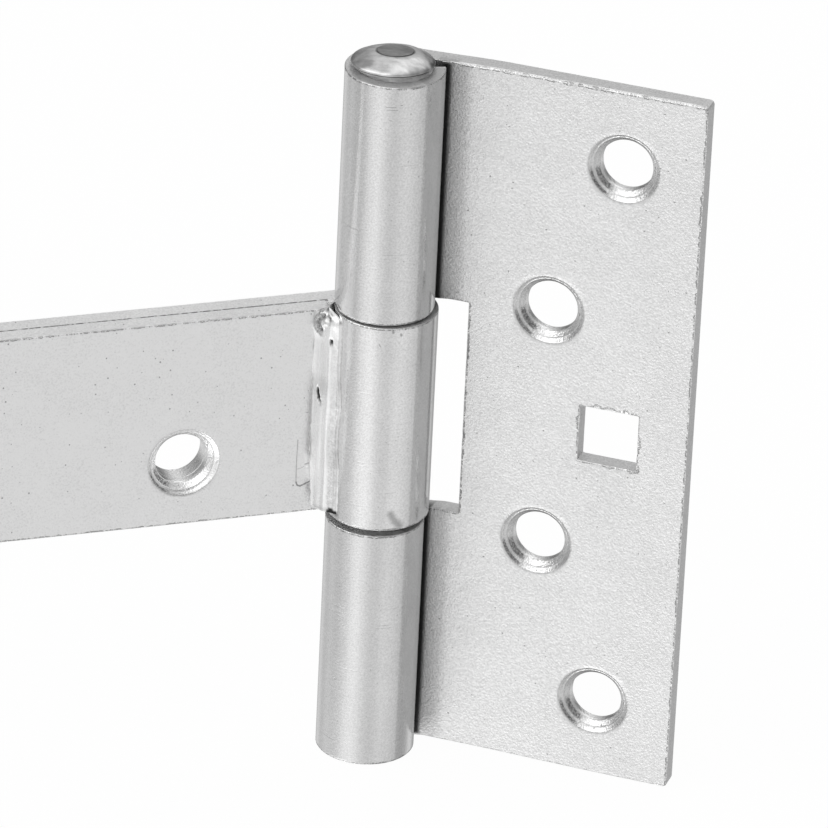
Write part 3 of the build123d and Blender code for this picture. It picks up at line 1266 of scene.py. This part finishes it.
class Graph:
    """Short hand for a node tree: most methods add a node and return what it puts out."""

    def __init__(self, tree: bpy.types.NodeTree) -> None:
        """Work on a tree, laid out from left to right as nodes are added."""
        self.tree = tree
        self.count = 0

    def node(
        self, kind: str, *values: object, named: dict[str, object] | None = None, **settings: object
    ) -> bpy.types.Node:
        """Add a node.

        Args:
            kind: The type of the node.
            values: What its inputs get, in their order. None leaves an input as it is.
            named: What its inputs get by name.
            settings: Its properties.

        Returns:
            The new node.
        """
        made = self.tree.nodes.new(kind)
        made.location = (180.0 * (self.count // 6), -160.0 * (self.count % 6))
        self.count += 1
        for name, value in settings.items():
            setattr(made, name, value)
        by_name = ((made.inputs[name], value) for name, value in (named or {}).items())
        for socket, value in (*zip(made.inputs, values), *by_name):
            if isinstance(value, Value):
                self.tree.links.new(value.socket, socket)
            elif value is not None:
                socket.default_value = value
        return made

    def out(self, kind: str, *values: object, output: int | str = 0, **settings: object) -> Value:
        """Add a node and return one of its outputs."""
        return Value(self, self.node(kind, *values, **settings).outputs[output])

    def outs(self, kind: str, *values: object, **settings: object) -> dict[str, Value]:
        """Add a node and return its outputs by name."""
        made = self.node(kind, *values, **settings)
        return {socket.name: Value(self, socket) for socket in made.outputs}

    def math(self, operation: str, *values: object, clamp: bool = False) -> Value:
        """Sum, product or other function of numbers."""
        return self.out("ShaderNodeMath", *values, operation=operation, use_clamp=clamp)

    def most(self, first: object, *others: object) -> object:
        """Largest of some numbers."""
        for other in others:
            first = self.math("MAXIMUM", first, other)
        return first

    def vector(self, operation: str, *values: object) -> Value:
        """Function of vectors that gives a vector."""
        return self.out("ShaderNodeVectorMath", *values, operation=operation)

    def measure(self, operation: str, *values: object) -> Value:
        """Function of vectors that gives a number."""
        return self.out("ShaderNodeVectorMath", *values, output="Value", operation=operation)

    def scaled(self, vector: object, scale: object) -> Value:
        """Vector made longer or shorter."""
        return self.out("ShaderNodeVectorMath", vector, named={"Scale": scale}, operation="SCALE")

    def span(
        self, value: object, low: object, high: object, to_low: object = 0.0, to_high: object = 1.0
    ) -> Value:
        """Smoothly map a value from one span to another, and hold it at the ends."""
        given = (value, low, high, to_low, to_high)
        return self.out("ShaderNodeMapRange", *given, interpolation_type="SMOOTHSTEP", clamp=True)

    def fade(self, value: object, low: object, high: object) -> Value:
        """Smoothly 1 before low and 0 past high."""
        return self.span(value, low, high, 1.0, 0.0)

    def within(self, value: object, rise: float, full: float, fading: float, gone: float) -> Value:
        """Smoothly 1 from full to fading, and 0 before rise and past gone."""
        return self.span(value, rise, full) * self.fade(value, fading, gone)

    def noise(self, vector: object, size: object, detail: float = 2.0) -> Value:
        """Noise from 0 to 1 with features of a size in the vector's unit."""
        named = {"Vector": vector, "Scale": 1.0 / size, "Detail": detail}
        return self.out("ShaderNodeTexNoise", output="Fac", named=named)

    def squash(self, vector: object, shares: tuple[float, float, float]) -> Value:
        """Scale a vector by a share along each axis, to draw a pattern out along the small ones."""
        return self.vector("MULTIPLY", vector, shares)

    def blend(self, share: object, low: object, high: object) -> Value:
        """Mix of two numbers."""
        return self.out("ShaderNodeMix", share, None, low, high, data_type="FLOAT")

    def grey(self, value: object) -> Value:
        """Neutral colour of a lightness."""
        return self.out("ShaderNodeCombineColor", value, value, value)

    def stored(self, name: str) -> Value:
        """Number stored at the piece's points."""
        return self.out("ShaderNodeAttribute", output="Fac", attribute_name=name)

    def use(self, group: bpy.types.NodeTree, **inputs: object) -> dict[str, Value]:
        """Place a node group with its own values, and return what it puts out by name."""
        return self.outs("ShaderNodeGroup", named=inputs, node_tree=group)

    def give(self, **values: Value) -> bpy.types.NodeTree:
        """Put values out of a node group by name, and return its tree."""
        self.node("NodeGroupOutput", named=values)
        return self.tree

    def millimetres(self) -> Value:
        """Place on the piece in millimetres."""
        return self.scaled(self.out("ShaderNodeTexCoord", output="Object"), 1.0 / MM)

    def raised(self, height: object, distance: float, normal: Value | None = None) -> Value:
        """Normal of a surface raised by a height.

        Args:
            height: The height from 0 to 1.
            distance: How high 1 is, in millimetres.
            normal: The normal to build on.

        Returns:
            The new normal.
        """
        named = {"Distance": distance * MM, "Height": height, "Normal": normal}
        return self.out("ShaderNodeBump", named=named)

    def metal(self, tone: Value, roughness: Value, normal: Value) -> None:
        """End a material's tree with a metal of a lightness, a roughness and a normal."""
        named = {"Base Color": self.grey(tone), "Metallic": 1.0, "Roughness": roughness, "Normal": normal}
        self.node("ShaderNodeOutputMaterial", self.out("ShaderNodeBsdfPrincipled", named=named))


def empty_graph(owner: bpy.types.Material | bpy.types.World) -> Graph:
    """Clear the node tree of a material or a world, to build it up."""
    owner.use_nodes = True
    owner.node_tree.nodes.clear()
    return Graph(owner.node_tree)


def start_group(name: str, inputs: tuple[str, ...], outputs: tuple[str, ...]) -> tuple[Graph, list[Value]]:
    """Start a shader node group with its sockets.

    Args:
        name: The group's name.
        inputs: Names of the places and numbers that it takes.
        outputs: Names of the numbers that it puts out.

    Returns:
        The graph, and what it takes as values.
    """
    tree = bpy.data.node_groups.new(name, "ShaderNodeTree")
    for direction, labels in (("INPUT", inputs), ("OUTPUT", outputs)):
        for label in labels:
            kind = "NodeSocketVector" if label in PLACE_INPUTS else "NodeSocketFloat"
            tree.interface.new_socket(name=label, in_out=direction, socket_type=kind)
    graph = Graph(tree)
    given = graph.outs("NodeGroupInput")
    return graph, [given[label] for label in inputs]


def make_grain_group() -> bpy.types.NodeTree:
    """Fine grain and soft clouds of the plated surface."""
    inputs = ("Place", "Size", "Contrast", "Cloud")
    graph, (at, size, contrast, cloudy) = start_group("zinc_grain", inputs, ("Tone", "Height"))
    fine = graph.noise(at, size, 3.0)
    cloud = graph.noise(at, 6.5, 3.0)
    return graph.give(Tone=(fine - 0.5) * contrast + (cloud - 0.5) * cloudy + 1.0, Height=fine)


def make_pit_group() -> bpy.types.NodeTree:
    """Scattered small dark pits."""
    inputs = ("Place", "Spacing", "Radius", "Share")
    graph, (at, spacing, radius, share) = start_group("plating_pits", inputs, ("Mask",))
    named = {"Vector": at, "Scale": 1.0 / spacing}
    scatter = graph.outs("ShaderNodeTexVoronoi", named=named, feature="F1")
    chance = graph.outs("ShaderNodeSeparateColor", scatter["Color"])
    size = radius * graph.span(chance["Green"], 0.0, 1.0, 0.5, 1.1)
    dot = graph.fade(scatter["Distance"] * spacing, size * 0.4, size)
    return graph.give(Mask=dot * graph.math("LESS_THAN", chance["Red"], share))


def make_nick_group() -> bpy.types.NodeTree:
    """Chipped and burred band along sheared edges, with its ragged dark border."""
    inputs = ("Place", "Rim", "Strength", "Upright")
    graph, (at, rim, strength, upright) = start_group("edge_nicks", inputs, ("Drop", "Dark"))
    lying = graph.squash(at, (1.0, 1.0, 0.15))
    standing = graph.squash(at, (0.15, 1.0, 1.0))
    fine = graph.blend(upright, graph.noise(lying, 0.2, 3.0), graph.noise(standing, 0.2, 3.0))
    coarse = graph.blend(upright, graph.noise(lying, 0.9, 2.0), graph.noise(standing, 0.9, 2.0))
    bite = graph.most(coarse - 0.42, 0.0)
    reach = (bite * 1.3 + (fine - 0.4) * 0.55) * strength
    beyond = rim - reach
    below = graph.within(beyond, -0.1, 0.0, 0.04, 0.15)
    dotted = graph.span(graph.noise(at, 0.26, 1.0), 0.36, 0.5)
    dark = below * graph.span(reach, 0.0, 0.06) * dotted
    return graph.give(Drop=graph.fade(beyond, -0.3, 0.0), Dark=dark)


def make_turning_group() -> bpy.types.NodeTree:
    """Dark stipple that the countersink's chatter left low on the left of each hole."""
    inputs = ("Place", "Radius", "Bearing")
    graph, (at, radius, bearing) = start_group("turning_marks", inputs, ("Dark",))
    outer = graph.within(radius, 4.42, 4.5, 4.7, 4.8)
    inner = graph.within(radius, 3.62, 3.7, 4.1, 4.2)
    side = graph.within(bearing, 186.0, 200.0, 236.0, 252.0)
    stipple = graph.span(graph.noise(at, 0.22, 2.0), 0.36, 0.6, 0.35, 1.0)
    return graph.give(Dark=graph.most(outer, inner) * side * stipple)


def make_line_group() -> bpy.types.NodeTree:
    """One scratch between two places."""
    inputs = ("Place", "Start", "End", "Width")
    graph, (at, start, end, width) = start_group("scratch_line", inputs, ("Mask",))
    along = graph.vector("SUBTRACT", end, start)
    away = graph.vector("SUBTRACT", at, start)
    dots = [graph.measure("DOT_PRODUCT", vector, along) for vector in (away, along)]
    foot = graph.scaled(along, graph.math("DIVIDE", *dots, clamp=True))
    return graph.give(Mask=graph.fade(graph.measure("DISTANCE", away, foot), 0.0, width))


def make_streak_group() -> bpy.types.NodeTree:
    """Long soft streaks along the pin's axis and fine scratches around it."""
    graph, (at,) = start_group("rolling_streaks", ("Place",), ("Streak", "Scratch"))
    streak = graph.noise(graph.squash(at, (1.0, 1.0, 0.05)), 1.5, 3.0)
    fine = graph.noise(graph.squash(at, (0.12, 0.12, 3.0)), 0.6, 2.0)
    where = graph.noise(at, 3.2, 1.0)
    return graph.give(Streak=streak, Scratch=graph.span(fine, 0.64, 0.72) * graph.span(where, 0.52, 0.62))


@dataclass(frozen=True)
class Effects:
    """The node groups that the finishes share, each built once."""

    grain: bpy.types.NodeTree = field(default_factory=make_grain_group)
    pits: bpy.types.NodeTree = field(default_factory=make_pit_group)
    nicks: bpy.types.NodeTree = field(default_factory=make_nick_group)
    line: bpy.types.NodeTree = field(default_factory=make_line_group)
    streaks: bpy.types.NodeTree = field(default_factory=make_streak_group)
    turning: bpy.types.NodeTree = field(default_factory=make_turning_group)


@dataclass(frozen=True)
class Scratch:
    """A scratch as a run of places, in millimetres, and how dark it is."""

    places: tuple[tuple[float, float, float], ...]
    width: float
    dark: float = 0.4


@dataclass(frozen=True)
class PlateFinish:
    """Bright zinc on sheet: satin on the flats, smoother on the rolled eyes.

    Attributes:
        name: Name of the material.
        tone: Lightness of the clean flats.
        rolled_tone: Lightness of the rolled eyes.
        deep_shade_tone: Lightness of painted deep shade.
        satin: Roughness of the flats.
        smooth: Roughness of the rolled eyes.
        worn: Roughness of worn edges and turned walls.
        sheared: Roughness of sheared walls.
        relief: Height of the grain, in millimetres.
        nick_dark: Darkness of the border of the nicks.
        sheared_dark: Darkness of sheared walls.
        stipple_dark: Darkness of the stipple on turned walls.
        painted_shade_dark: Darkness of the painted shade.
        scratches: Scratches that stand out by themselves.
    """

    name: str
    tone: float = 0.79
    rolled_tone: float = 0.78
    deep_shade_tone: float = 0.03
    satin: float = 0.4
    smooth: float = 0.17
    worn: float = 0.2
    sheared: float = 0.55
    relief: float = 0.07
    nick_dark: float = 0.65
    sheared_dark: float = 0.14
    stipple_dark: float = 0.72
    painted_shade_dark: float = 0.2
    scratches: tuple[Scratch, ...] = ()

    def scratch_mask(self, graph: Graph, effects: Effects, at: Value) -> object:
        """Strongest of the piece's own scratches at a place."""
        mask: object = 0.0
        for scratch in self.scratches:
            for start, end in zip(scratch.places, scratch.places[1:]):
                line = graph.use(effects.line, Place=at, Start=start, End=end, Width=scratch.width)
                mask = graph.most(mask, line["Mask"] * scratch.dark)
        return mask

    def build(self, effects: Effects) -> bpy.types.Material:
        """Make the material from the shared node groups."""
        material = bpy.data.materials.new(self.name)
        graph = empty_graph(material)
        at = graph.millimetres()
        rolled, deep_shade, rim, nick, bored = map(graph.stored, ("rolled", "deep_shade", "rim", "nick", "bored"))
        flat = 1.0 - rolled
        worn = graph.fade(rim, 0.02, 0.1) * flat
        cut = graph.stored("cut") * (1.0 - bored)
        grain = graph.use(effects.grain, Place=at, Size=0.26, Contrast=0.5, Cloud=0.14)
        streaks = graph.use(effects.streaks, Place=at)
        nicks = graph.use(effects.nicks, Place=at, Rim=rim, Strength=nick, Upright=graph.stored("upright"))
        marks = self.marks(graph, effects, at, streaks["Scratch"] * rolled)
        loss = graph.most(
            marks, nicks["Dark"] * self.nick_dark, self.seam_line(graph, at), cut * self.sheared_dark
        )
        tone = grain["Tone"] * graph.blend(rolled, self.tone, self.rolled_tone)
        tone = tone + (streaks["Streak"] - 0.5) * rolled * 0.08
        tone = graph.blend(worn * graph.span(nick, 0.2, 0.6), tone, 1.0)
        # The last factor greys the tone with painted shade and reflection.
        tone = tone * (1.0 - loss) * self.painted_shade_share(graph, at)
        rough = graph.blend(worn, graph.blend(rolled, self.satin, self.smooth), self.worn)
        rough = graph.blend(bored, graph.blend(cut, rough, self.sheared), self.worn)
        normal = graph.raised(grain["Height"] * (flat * 0.85 + 0.15), self.relief)
        normal = graph.raised(loss * -1.0, 0.04, normal)
        normal = graph.raised(nicks["Drop"] * -1.0, 0.2, normal)
        normal = graph.raised(streaks["Streak"] * rolled, 0.02, normal)
        # Painted deep shade darkens seams, roll insides and the gap below the weld, and roughens them.
        graph.metal(graph.blend(deep_shade, tone, self.deep_shade_tone), rough + deep_shade * 0.3, normal)
        return material

    def marks(self, graph: Graph, effects: Effects, at: Value, fine: Value) -> object:
        """Darkness of the pits, the scratches and the turned walls' stipple at a place."""
        pits = graph.use(effects.pits, Place=at, Spacing=1.0, Radius=0.15, Share=0.5)["Mask"]
        pits = pits * graph.blend(graph.stored("rolled"), 0.6, 0.25)
        sunk, bearing, lip = map(graph.stored, ("sunk", "bearing", "lip"))
        stipple = graph.use(effects.turning, Place=at, Radius=sunk, Bearing=bearing)["Dark"]
        burr = graph.span(lip, 0.03, 0.16, 0.16, 0.0)
        scratch = self.scratch_mask(graph, effects, at)
        return graph.most(pits, scratch, fine * 0.16, stipple * self.stipple_dark, burr)

    def seam_line(self, graph: Graph, at: Value) -> Value:
        """Darkness of the broken line where the arm's two strips meet."""
        broken = graph.span(graph.noise(at, 0.7, 3.0), 0.38, 0.52, 0.3, 0.85)
        return graph.fade(graph.stored("seam"), 0.08, 0.2) * broken

    def painted_shade_share(self, graph: Graph, at: Value) -> Value:
        """Share of the light that the painted shade and reflection beside the barrels and on the eyes
        leave.
        """
        shade = graph.stored("shade")
        ragged = (graph.noise(at, 0.4, 4.0) - 0.5) * 1.1
        held = graph.span(shade + ragged, 0.3, 0.95) * graph.span(shade, 0.0, 0.3)
        return 1.0 - held * self.painted_shade_dark


@dataclass(frozen=True)
class WeldFinish:
    """Plated weld metal: bright, glossy and streaked, with dark pits and creases of painted shade.

    Attributes:
        name: Name of the material.
        tone: Lightness of the clean weld.
        shade_tone: Lightness of its painted shade.
        deep_shade_tone: Lightness of painted deep shade.
        roughness: Roughness of the glossiest streaks.
    """

    name: str
    tone: float = 0.94
    shade_tone: float = 0.2
    deep_shade_tone: float = 0.03
    roughness: float = 0.22

    def build(self, effects: Effects) -> bpy.types.Material:
        """Make the material from the shared node groups."""
        material = bpy.data.materials.new(self.name)
        graph = empty_graph(material)
        at = graph.millimetres()
        grain = graph.use(effects.grain, Place=at, Size=0.25, Contrast=0.12, Cloud=0.1)
        drawn = graph.noise(graph.squash(at, (1.0, 1.0, 0.06)), 0.5, 3.0)
        speck = graph.span(graph.noise(at, 0.3, 2.0), 0.3, 0.7, 0.5, 1.0)
        # Painted shade greys the toe strip and crater hollow; painted deep shade darkens the pits, creases
        # and the bead's foot.
        tone = graph.blend(graph.stored("shade") * speck, grain["Tone"] * self.tone, self.shade_tone)
        tone = graph.blend(graph.stored("deep_shade"), tone, self.deep_shade_tone)
        rough = graph.span(drawn, 0.3, 0.7, self.roughness, self.roughness + 0.08)
        graph.metal(tone, rough, graph.raised(drawn, 0.03, graph.raised(grain["Height"], 0.01)))
        return material


@dataclass(frozen=True)
class PinFinish:
    """Plated pin with a worn head, dull and dark on its middle disc.

    Attributes:
        name: Name of the material.
        tone: Lightness of the clean metal.
        disc_tone: Lightness of the disc.
        deep_shade_tone: Lightness of painted deep shade.
        roughness: Roughness of the metal.
        disc_roughness: Roughness of the disc.
    """

    name: str
    tone: float = 0.74
    disc_tone: float = 0.34
    deep_shade_tone: float = 0.04
    roughness: float = 0.34
    disc_roughness: float = 0.5

    def build(self, effects: Effects) -> bpy.types.Material:
        """Make the material from the shared node groups."""
        material = bpy.data.materials.new(self.name)
        graph = empty_graph(material)
        at = graph.millimetres()
        grain = graph.use(effects.grain, Place=at, Size=0.45, Contrast=0.3, Cloud=0.25)
        disc = graph.stored("disc")
        smear = graph.span(graph.noise(graph.squash(at, (0.5, 1.0, 1.0)), 1.1, 4.0), 0.3, 0.66, 0.72, 1.08)
        tone = grain["Tone"] * graph.blend(disc, self.tone, self.disc_tone) * smear
        # Painted shade darkens the head's crease, the ring round its disc and the dome's sides.
        tone = graph.blend(graph.stored("deep_shade"), tone, self.deep_shade_tone)
        rough = graph.blend(disc, self.roughness, self.disc_roughness)
        graph.metal(tone, rough, graph.raised(grain["Height"], 0.02))
        return material


@dataclass(frozen=True)
class LightCard:
    """A soft light or dark card around the hinge.

    Attributes:
        azimuth: Direction around the pin's axis from +X, in degrees.
        elevation: Direction above the floor, in degrees.
        spread: Half width of its soft edge, in degrees.
        strength: What it adds to the level of the room.
    """

    azimuth: float
    elevation: float
    spread: float
    strength: float

    @property
    def direction(self) -> tuple[float, float, float]:
        """Unit vector towards the card."""
        azimuth = math.radians(self.azimuth)
        elevation = math.radians(self.elevation)
        level = math.cos(elevation)
        return (level * math.cos(azimuth), level * math.sin(azimuth), math.sin(elevation))


@dataclass(frozen=True)
class Studio:
    """Camera, room light and floor.

    Attributes:
        room: Level of the room's light.
        darkest: Lowest level that the dark cards leave.
        ring_elevation: Direction of a ring of cards above the floor, in degrees.
        ring_spread: Half width of each card in the ring.
        ring_start: Azimuth of the first card in the ring.
        ring_step: Azimuth from one card in the ring to the next.
        ring: Strength of each card in the ring.
        cards: Other soft light and dark cards.
        camera_place: Place of the camera in millimetres.
        camera_turn: Turn of the camera about X, Y and Z, in degrees.
        lens: Focal length, in millimetres.
        sensor: Width of the sensor, in millimetres.
        floor: Place of the floor.
        floor_tone: Lightness of the floor.
        floor_glow: Share of the floor that shows as plain white.
    """

    room: float = 0.488
    darkest: float = 0.03
    ring_elevation: float = -27.0
    ring_spread: float = 11.0
    ring_start: float = 60.0
    ring_step: float = 20.0
    ring: tuple[float, ...] = (
        0.47, 0.0, 0.05, 0.1, 0.35, -0.01, 0.05, -0.25,
        -0.3, -0.06, 0.18, 0.08, 0.1, 0.24, 0.17, 0.1,
    )
    cards: tuple[LightCard, ...] = (
        LightCard(108, 27, 16, 0.12),
        LightCard(188, 14, 16, -0.45),
        LightCard(198, 31, 12, 0.9),
        LightCard(323, 30, 16, -0.28),
        LightCard(62, 15, 14, -0.15),
        LightCard(240, 58, 22, 1.35),
        LightCard(220, 38, 8, 0.7),
        LightCard(82, 60, 17, 1.05),
        LightCard(150, 72, 20, -0.4),
        LightCard(135, 2, 14, -0.45),
        LightCard(82, 0, 14, -0.45),
        LightCard(120, -60, 20, -0.45),
        LightCard(255, 5, 18, 0.34),
        LightCard(220, -60, 20, 1.96),
    )
    camera_place: tuple[float, float, float] = (330.166, -1017.863, 555.597)
    camera_turn: tuple[float, float, float] = (62.5117, -2.4437, 19.0008)
    lens: float = 400.26
    sensor: float = 36.0
    floor: float = -50.2
    floor_tone: float = 0.95
    floor_glow: float = 0.97

    def set_camera(self) -> None:
        """Set the camera where the photograph was taken from."""
        data = bpy.data.cameras.new("photo_camera")
        data.lens = self.lens
        data.sensor_width = self.sensor
        data.clip_start = 0.1
        data.clip_end = 10.0
        camera = bpy.data.objects.new("photo_camera", data)
        camera.location = Vector(self.camera_place) * MM
        camera.rotation_euler = [math.radians(angle) for angle in self.camera_turn]
        bpy.context.scene.collection.objects.link(camera)
        bpy.context.scene.camera = camera

    def ring_cards(self) -> list[LightCard]:
        """The ring of cards below the hinge, one step of azimuth apart."""
        cards = []
        for number, strength in enumerate(self.ring):
            azimuth = self.ring_start + self.ring_step * number
            cards.append(LightCard(azimuth, self.ring_elevation, self.ring_spread, strength))
        return cards

    def set_room(self) -> None:
        """Light the room evenly, with soft light and dark cards, and show it white."""
        world = bpy.data.worlds.new("studio")
        bpy.context.scene.world = world
        graph = empty_graph(world)
        direction = graph.out("ShaderNodeTexCoord", output="Generated")
        level: object = self.room
        for card in (*self.ring_cards(), *self.cards):
            facing = graph.measure("DOT_PRODUCT", direction, card.direction)
            tightness = 1.0 / math.radians(card.spread) ** 2
            fall = graph.math("EXPONENT", (facing - 1.0) * tightness)
            level = fall * card.strength + level
        seen = graph.out("ShaderNodeLightPath", output="Is Camera Ray")
        colour = graph.grey(graph.blend(seen, graph.most(level, self.darkest), 1.0))
        graph.node("ShaderNodeOutputWorld", graph.out("ShaderNodeBackground", colour))

    def lay_floor(self) -> None:
        """Lay a pale floor that keeps a faint shadow and stays out of the metal's reflections."""
        clear_selection()
        bpy.ops.mesh.primitive_circle_add(
            vertices=96, radius=3.0, fill_type="NGON", location=(0.0, 0.0, self.floor * MM)
        )
        floor = bpy.context.object
        floor.name = "floor"
        material = bpy.data.materials.new("pale_floor")
        graph = empty_graph(material)
        tone = self.floor_tone
        matt = graph.out("ShaderNodeBsdfDiffuse", (tone, tone, tone, 1.0))
        glow = graph.out("ShaderNodeEmission")
        clear = graph.out("ShaderNodeBsdfTransparent")
        path = graph.outs("ShaderNodeLightPath")
        shown = graph.out("ShaderNodeMixShader", path["Is Camera Ray"] * self.floor_glow, matt, glow)
        mirrored = graph.most(path["Is Glossy Ray"], path["Is Transmission Ray"])
        whole = graph.out("ShaderNodeMixShader", mirrored, shown, clear)
        graph.node("ShaderNodeOutputMaterial", whole)
        floor.data.materials.append(material)

    def build(self) -> None:
        """Set up the camera, the room and the floor."""
        bpy.context.scene.view_settings.view_transform = "Standard"
        self.set_camera()
        self.set_room()
        self.lay_floor()


def screw_holes(places: Table, wall: Table) -> list[ScrewHole]:
    """Screw holes at some places, all with the same wall."""
    return [ScrewHole(x, z, wall) for x, z in places]


def on_doubler(*places: tuple[float, float]) -> tuple[tuple[float, float, float], ...]:
    """Turn places along and up the doubler's front into the frame of the whole hinge."""
    return tuple(arm_place(x, ARM_BACK - 2 * SHEET, z) for x, z in places)


def arm_scratches() -> tuple[Scratch, ...]:
    """Scratches on the arm: the hooked line beside the weld with its ticks, and stains at the eye's rim."""
    upright = on_doubler((-10.54, -4.25), (-10.62, -7.5), (-10.58, -10.47))
    foot = on_doubler((-10.58, -10.47), (-10.4, -10.95), (-10.0, -11.13), (-9.33, -10.84), (-8.52, -10.4))
    return (
        Scratch(upright, 0.12, 0.45),
        Scratch(foot, 0.18, 0.7),
        Scratch(on_doubler((-9.44, -7.93), (-9.04, -7.82)), 0.16, 0.5),
        Scratch(on_doubler((-10.5, -8.55), (-9.9, -8.45), (-9.6, -8.25)), 0.1, 0.35),
        Scratch(on_doubler((-9.74, -0.19), (-9.33, -0.31)), 0.1, 0.35),
        Scratch(((3.27, -6.02, 14.95), (3.3, -6.0, 14.7)), 0.3, 0.5),
        Scratch(((4.2, -5.46, 14.35), (4.25, -5.43, 14.2)), 0.25, 0.5),
        Scratch(((1.7, -6.57, 12.9), (1.85, -6.53, 12.6)), 0.16, 0.4),
        Scratch(((4.08, -5.72, -12.09), (4.5, -5.42, -13.1)), 0.9, 0.5),
        Scratch(((4.5, -5.42, -13.1), (5.11, -4.86, -13.93)), 0.95, 0.5),
        Scratch(((3.5, -6.05, -14.4), (5.2, -4.8, -14.2)), 0.25, 0.5),
    )


def leaf_scratches() -> tuple[Scratch, ...]:
    """Short scratches around the upper barrel, below its rim."""
    radius = BORE + SHEET
    rings = []
    for start, end, z in BARREL_SCRATCHES:
        angles = [math.radians(azimuth) for azimuth in (start, (start + end) / 2, end)]
        rings.append(Scratch(tuple((radius * math.cos(a), radius * math.sin(a), z) for a in angles), 0.1))
    return tuple(rings)


def main() -> None:
    """Build the studio, the finishes and each piece of the hinge."""
    logging.basicConfig(level=logging.INFO, format="%(name)s %(message)s")
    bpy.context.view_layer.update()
    Studio().build()
    effects = Effects()
    leaf_plate = PlateFinish("leaf_plate", scratches=leaf_scratches()).build(effects)
    # The arm's strips carry the same plating as the leaf; their lighter tones are painted light, for the
    # brighter light that the arm's front catches.
    arm_plate = PlateFinish(
        "arm_plate", tone=1.0, rolled_tone=0.84, satin=0.3, scratches=arm_scratches()
    ).build(effects)
    Leaf(
        name="hinge_leaf",
        node="leaf",
        body=LEAF_BODY,
        near=0.0,
        far=41.0,
        half_height=50.0,
        back=BORE + SHEET,
        holes=screw_holes(LEAF_HOLES, sunk_wall(SHEET)),
    ).build(leaf_plate)
    Strap(
        name="arm_strap",
        node="strap",
        body=ARM_BODY,
        near=on_eye(ARM_BACK),
        far=-200.0,
        half_height=14.85,
        back=ARM_BACK,
        holes=screw_holes(ARM_HOLES, plain_wall(SHEET)),
        turn=ARM_TURN,
        centre=EYE_CENTRE,
        radius=EYE_RADIUS,
        gap=0.3,
    ).build(arm_plate)
    Doubler(
        name="arm_doubler",
        node="doubler",
        body=ARM_BODY,
        near=-6.89,
        far=-200.0,
        half_height=14.85,
        back=ARM_BACK - SHEET,
        holes=screw_holes(ARM_HOLES, sunk_wall(SHEET)),
        turn=ARM_TURN,
    ).build(arm_plate)
    WeldBead().build(WeldFinish("weld_metal").build(effects))
    HingePin().build(PinFinish("pin_steel").build(effects))


if __name__ == "__main__":
    main()
